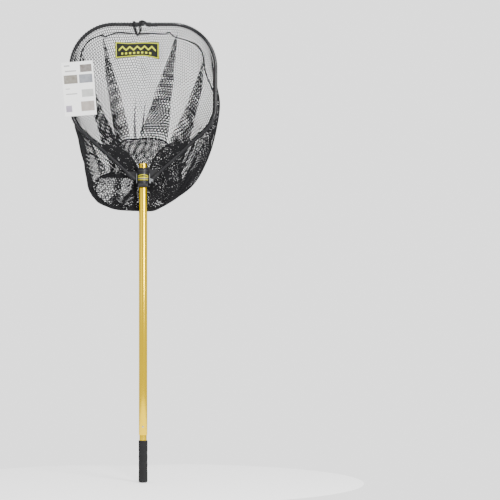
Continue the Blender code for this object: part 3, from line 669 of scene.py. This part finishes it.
def make_bottom_panel(material, cord_material):
    """A panel of the same netting closes the bag inside the bottom seam, with a second layer over its upper part, and
    a cord runs round the seam."""
    radius = 24
    corners, faces = honeycomb(radius * 4, int(radius * 2.2))
    flat = np.stack([corners[:, 0] / (radius * 2) - 1, corners[:, 1] / (radius * 1.1) - 1], axis=1)
    out = np.linalg.norm(flat, axis=1)
    keep = [face for face in faces if out[face].min() < 1.0]
    used = sorted({c for face in keep for c in face})
    index = {c: n for n, c in enumerate(used)}
    flat_all, flat, out = flat, flat[used], np.minimum(out[used], 1.0)
    upper = [face for face in keep if flat_all[face][:, 1].min() > -0.15]
    for layer, (name, cells) in enumerate((("netting_bottom", keep), ("netting_bottom_tuck", upper))):
        share = (np.arctan2(flat[:, 0], flat[:, 1]) / math.tau + 0.13 * layer) % 1.0
        rim = bag_surface(share, np.ones(len(share)))
        hub = np.array([-0.006 + 0.020 * layer, 0.058 + 0.009 * layer, 1.035 - 0.015 * layer])
        points = hub + (rim - hub) * (out ** (1 - 0.22 * layer))[:, None]
        inside_rim = 1 - ease(out, 0.85, 1)
        points[:, 1] += 0.0024 * np.sin(5 * math.tau * share + 2 * layer) * ease(out, 0, 0.5) * inside_rim
        points[:, 0] += 0.0030 * np.sin(70 * points[:, 2] + layer) * inside_rim
        piece = twine_from(name, points, [[index[c] for c in face] for face in cells], TWINE)
        finish_piece(piece, name, material, smooth=100)
        bend_with_hoop(piece)
    seam = cord_mesh("bottom_seam_cord", [Vector(p) for p in seam_route()], 0.0050, closed=True)
    finish_piece(seam, "bottom_seam_cord", cord_material)
    bend_with_hoop(seam)


# ---------------------------------------------------------------- hoop, lashing and border rope

def hoop_route(side, count):
    points, _ = evenly(hoop_line(), count)
    return [Vector((side * x, HOOP_Y, z)) for x, z in points]


def make_hoop(material, cord_material):
    """The round tubes, and the cord that laces the netting's edge to them."""
    for side, body, word in ((-1, LEFT, "left"), (1, RIGHT, "right")):
        tube = cord_mesh(f"{word}_hoop_tube_round", hoop_route(side, 90), 2 * TUBE_RADIUS, sides=24)
        finish_piece(tube, f"{word}_hoop_tube_round", material, body)
        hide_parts(f"{word}_hoop_tube")
        make_lashing(side, body, word, cord_material)


def make_lashing(side, body, word, material):
    """A helix of cord that laces the netting's edge to the tube."""
    pitch, rise, cord, steps_per_turn = 0.0104, 0.0011, 0.0019, 10
    bare_at_hinge, bare_at_arm = 0.028, 0.036
    line = [p for p in hoop_line() if p[0] > 0.002]
    length = sum(math.dist(a, b) for a, b in zip(line, line[1:]))
    start, end = bare_at_hinge / length, 1 - bare_at_arm / length
    turns = int(length * (end - start) / pitch)
    steps = turns * steps_per_turn
    points, ahead = evenly(line, 2000)
    route = []
    for step in range(steps + 1):
        share = start + (end - start) * step / steps
        at = share * (len(points) - 1)
        index = min(int(at), len(points) - 2)
        place = points[index] + (points[index + 1] - points[index]) * (at - index)
        across = Vector((ahead[index][1], 0, -ahead[index][0]))
        turn = math.tau * step / steps_per_turn
        radius = TUBE_RADIUS + rise
        outward = across * math.cos(turn) + Vector((0, math.sin(turn), 0))
        spot = Vector((place[0], HOOP_Y, place[1])) + radius * outward
        spot.x *= side
        route.append(spot)
    piece = cord_mesh(f"{word}_lashing", route, cord, sides=4)
    finish_piece(piece, f"{word}_lashing", material, body)


# The rope's line inside the hoop, as (x, z): it dips where a fold pulls on it.
ROPE_LINE = (
    (-0.238, 1.335), (-0.222, 1.385), (-0.215, 1.428), (-0.208, 1.466), (-0.184, 1.502),
    (-0.141, 1.520), (-0.131, 1.514), (-0.115, 1.521), (-0.084, 1.528), (-0.017, 1.524),
    (0.031, 1.526), (0.074, 1.524), (0.088, 1.530), (0.107, 1.514), (0.150, 1.502),
    (0.179, 1.488), (0.198, 1.466), (0.203, 1.450), (0.207, 1.428), (0.213, 1.390),
    (0.236, 1.333),
)


def make_border_rope(material):
    """The rope in the net's upper edge: inside the hoop along the top, meeting the tube half-way down each side."""
    route = spline_through([(x, HOOP_Y + 0.0095 + 0.0012 * math.sin(90 * x), z) for x, z in ROPE_LINE], 8)
    rope = cord_mesh("border_rope", route, 0.0054, sides=8)
    finish_piece(rope, "border_rope", material)
    bend_with_hoop(rope)
    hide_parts("left_border_rope", "right_border_rope")


# ---------------------------------------------------------------- handle

def lathe(name, profile, sides=64):
    """Turns a closed profile of (radius, height) corners about the handle's axis."""
    bpy.ops.mesh.primitive_circle_add(vertices=3, radius=0.01)
    piece = bpy.context.object
    mesh = piece.data
    mesh.clear_geometry()
    count = len(profile)
    mesh.from_pydata([(r, 0, z) for r, z in profile], [(i, (i + 1) % count) for i in range(count)], [])
    activate(piece)
    bpy.ops.object.mode_set(mode="EDIT")
    bpy.ops.mesh.select_all(action="SELECT")
    bpy.ops.mesh.spin(steps=sides, angle=math.tau, center=(0, 0, 0), axis=(0, 0, 1))
    bpy.ops.mesh.select_all(action="SELECT")
    bpy.ops.mesh.remove_doubles(threshold=0.00001)
    bpy.ops.mesh.delete_loose()
    bpy.ops.mesh.select_all(action="SELECT")
    bpy.ops.mesh.normals_make_consistent(inside=False)
    bpy.ops.object.mode_set(mode="OBJECT")
    piece.name = name
    return piece


def make_tube(name, node, wall, material, edge=0.0006):
    low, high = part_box(node)
    outer = (high.x - low.x) / 2
    bore = outer - wall
    profile = [(bore, low.z), (outer - edge, low.z), (outer - edge * 0.3, low.z + edge * 0.3), (outer, low.z + edge),
               (outer, high.z - edge), (outer - edge * 0.3, high.z - edge * 0.3), (outer - edge, high.z),
               (bore, high.z)]
    piece = lathe(name, profile)
    finish_piece(piece, name, material, "handle")
    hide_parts(node)


def make_grip(material):
    """The foam grip: domed at the butt, with shallow finger hollows and a rolled top edge."""
    low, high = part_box("handle_grip")
    radius, bore = (high.x - low.x) / 2, span("inner_tube").x / 2 + 0.0002
    length = high.z - low.z
    profile = [(0, 0), (radius * 0.70, 0)]
    profile += [(radius - 0.0052 + 0.0052 * math.sin(k * math.pi / 12), 0.0052 - 0.0052 * math.cos(k * math.pi / 12))
                for k in range(1, 7)]
    for step in range(1, 60):
        share = step / 60
        hollow = 0.0007 * (0.5 - 0.5 * math.cos(math.tau * 5 * share)) * float(ease(np.array(share), 0.1, 0.25))
        fade = 1 - float(ease(np.array(share), 0.75, 0.9))
        profile.append((radius - hollow * fade, 0.006 + (length - 0.009) * share))
    profile += [(radius, length - 0.0022), (radius - 0.0008, length - 0.0006), (radius - 0.0022, length),
                (bore, length), (bore, 0.006), (0, 0.006)]
    piece = lathe("foam_grip", profile, 72)
    finish_piece(piece, "foam_grip", material, "handle", smooth=50)
    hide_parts("handle_grip")


# ---------------------------------------------------------------- patch, card and tie

def face_sheet(name, width, height, across, up):
    """A flat grid in the XZ plane about the origin, with a map called face."""
    bpy.ops.mesh.primitive_grid_add(x_subdivisions=across, y_subdivisions=up, size=1, rotation=(math.pi / 2, 0, 0))
    piece = bpy.context.object
    piece.name = name
    piece.scale = (width, height, 1)
    activate(piece)
    bpy.ops.object.transform_apply(location=True, rotation=True, scale=True)
    layer = piece.data.uv_layers.get("UVMap") or piece.data.uv_layers.new(name="UVMap")
    layer.name = "face"
    for loop in piece.data.loops:
        spot = piece.data.vertices[loop.vertex_index].co
        layer.data[loop.index].uv = (spot.x / width + 0.5, spot.z / height + 0.5)
    return piece


def give_thickness(piece, thickness):
    wall = piece.modifiers.new("wall", "SOLIDIFY")
    wall.thickness = thickness
    wall.offset = 0
    edge = piece.modifiers.new("edge", "BEVEL")
    edge.width = thickness * 0.3
    edge.segments = 1
    apply_all(piece)


def make_patch(material):
    low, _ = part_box("left_patch")
    _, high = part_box("right_patch")
    width, height = high.x - low.x, high.z - low.z
    piece = face_sheet("sewn_patch", width, height, 40, 14)
    centre = (low + high) / 2
    for vertex in piece.data.vertices:
        u, v = vertex.co.x / width, vertex.co.z / height
        vertex.co.y += 0.0022 * math.sin(7 * u + 1.2 * v) + 0.0010 * math.sin(15 * u - 3 * v)
        vertex.co.z += (0.0020 - 0.0050 * v) * (1 - 4 * u * u) * 2.0 - 0.0050 + 0.0012 * math.sin(9 * u)
        vertex.co += centre
    give_thickness(piece, 0.0010)
    finish_piece(piece, "sewn_patch", material)
    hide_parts("left_patch", "right_patch")
    bend_with_hoop(piece)


def make_card(material):
    low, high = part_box("hang_card")
    centre = (low + high) / 2
    width, height, tilt = 0.108, 0.184, math.radians(-4.5)
    piece = face_sheet("hang_card_printed", width, height, 10, 16)
    turn = Matrix.Rotation(tilt, 4, "Y")
    for vertex in piece.data.vertices:
        u, v = vertex.co.x / width, vertex.co.z / height
        vertex.co.y -= 0.0012 * (4 * u * u) + 0.0006 * math.sin(3 * v)
        vertex.co = turn @ vertex.co + centre
    give_thickness(piece, 0.0006)
    finish_piece(piece, "hang_card_printed", material, LEFT, smooth=40)
    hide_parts("hang_card")


def make_edge_tie(material):
    """A doubled cord that lifts the border rope to the top of the hoop, with a knot over the hinge."""
    y, z = HOOP_Y, HOOP_TOP

    def ring(x, radius, start=-60, end=230):
        return [Vector((x, y + radius * math.cos(math.radians(d)), z + radius * math.sin(math.radians(d))))
                for d in range(start, end, 20)]

    thick, low = 0.0046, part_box("edge_tie")[0].z + 0.008
    wrap, over = TUBE_RADIUS + thick / 2 + 0.0016, TUBE_RADIUS + thick / 2 + 0.0022
    for name, shift in (("edge_tie_cord", 0.0), ("edge_tie_second_strand", 0.0050)):
        half = shift / 2
        down = [Vector((-0.0300 + shift, y - 0.004, low + 0.020)),
                Vector((-0.0225 + half, y - 0.001, low + 0.003 + half))]
        up = [Vector((-0.0195 + half, y + 0.004, low + half)),
              Vector((-0.0165 + half, y - 0.001, low + 0.004 + half)),
              Vector((-0.0110 + shift, y - 0.005, low + 0.020))]
        route = [*ring(-0.0340 + shift, wrap), *down, *up, *reversed(ring(-0.0125 + shift, over, 60))]
        piece = cord_mesh(name, spline_through(route, 4), thick, sides=8)
        finish_piece(piece, name, material, LEFT)
        if not shift:
            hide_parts("edge_tie")
    knot = []
    for step in range(61):
        turn = math.tau * step / 60
        reach = 0.0050 + 0.0022 * math.cos(3 * turn)
        knot.append(Vector((-0.0010 + 1.5 * reach * math.cos(2 * turn), y - 0.0085 - 0.0024 * math.sin(3 * turn),
                            z + 0.0050 + reach * math.sin(2 * turn))))
    piece = cord_mesh("edge_tie_knot", knot[:-1], 0.0050, sides=8, closed=True)
    finish_piece(piece, "edge_tie_knot", material, LEFT)


# ---------------------------------------------------------------- springs

def make_springs(material):
    """The V springs behind the snap buttons, as welded copies of the CAD springs."""
    for node, name, body in (("grip_lock_spring", "grip_button_spring", "lock_button"),
                             ("head_stop_spring", "tip_button_spring", "stop_button")):
        solid = nodes[node].data
        piece = from_faces(name, [v.co for v in solid.vertices], [f.vertices for f in solid.polygons])
        activate(piece)
        weld = piece.modifiers.new("weld", "WELD")
        weld.merge_threshold = 0.00001
        apply_all(piece)
        finish_piece(piece, name, material)
        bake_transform(piece)
        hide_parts(node)


# ---------------------------------------------------------------- finishes of the CAD nodes that stay

def dress_cad(looks):
    names = {
        "yoke_block": "plastic", "yoke_bead": "plastic", "yoke_barrel": "plastic", "yoke_top_ring": "plastic",
        "left_arm_collar": "plastic", "right_arm_collar": "plastic",
        "butt_plug": "plastic", "inner_tube_plug": "plastic",
        "yoke_liner": "aluminium", "left_arm_strip": "aluminium", "right_arm_strip": "aluminium",
        "yoke_band": "band", "lower_washer": "nylon", "upper_washer": "nylon",
        "grip_lock_button": "steel", "head_stop_button": "oxide",
        "left_arm_rivet": "oxide", "right_arm_rivet": "oxide", "top_hinge_pin": "oxide",
        "left_top_hinge": "powder", "right_top_hinge": "powder",
    }
    for name, look in names.items():
        node = nodes[name]
        node.data.materials.clear()
        node.data.materials.append(looks[look])


def main():
    set_camera()
    looks = {
        "gold": gold_look(), "foam": foam_look(), "plastic": plastic_look(), "powder": powder_look(),
        "aluminium": metal_look("bare_aluminium", (0.26, 0.27, 0.28), 0.40), "band": band_look(),
        "steel": metal_look("bright_steel", (0.62, 0.62, 0.61), 0.26),
        "nylon": plastic_look("nylon", (0.020, 0.020, 0.020)),
        "oxide": metal_look("blackened_steel", (0.06, 0.06, 0.06), 0.38),
        "twine": twine_look("netting_twine", (0.005, 0.005, 0.006), (0.016, 0.016, 0.018)),
        "cord": twine_look("braided_cord", (0.005, 0.005, 0.006), (0.014, 0.014, 0.015), 420),
        "patch": patch_look(), "card": card_look(),
    }
    set_studio()
    dress_cad(looks)
    make_tube("gold_handle_tube", "handle_tube", 0.0013, looks["gold"])
    make_tube("gold_inner_tube", "inner_tube", 0.0013, looks["gold"])
    make_grip(looks["foam"])
    make_springs(looks["steel"])
    make_hoop(looks["powder"], looks["cord"])
    make_netting(looks["twine"])
    make_bottom_panel(looks["twine"], looks["cord"])
    make_border_rope(looks["cord"])
    make_edge_tie(looks["cord"])
    make_patch(looks["patch"])
    make_card(looks["card"])


main()
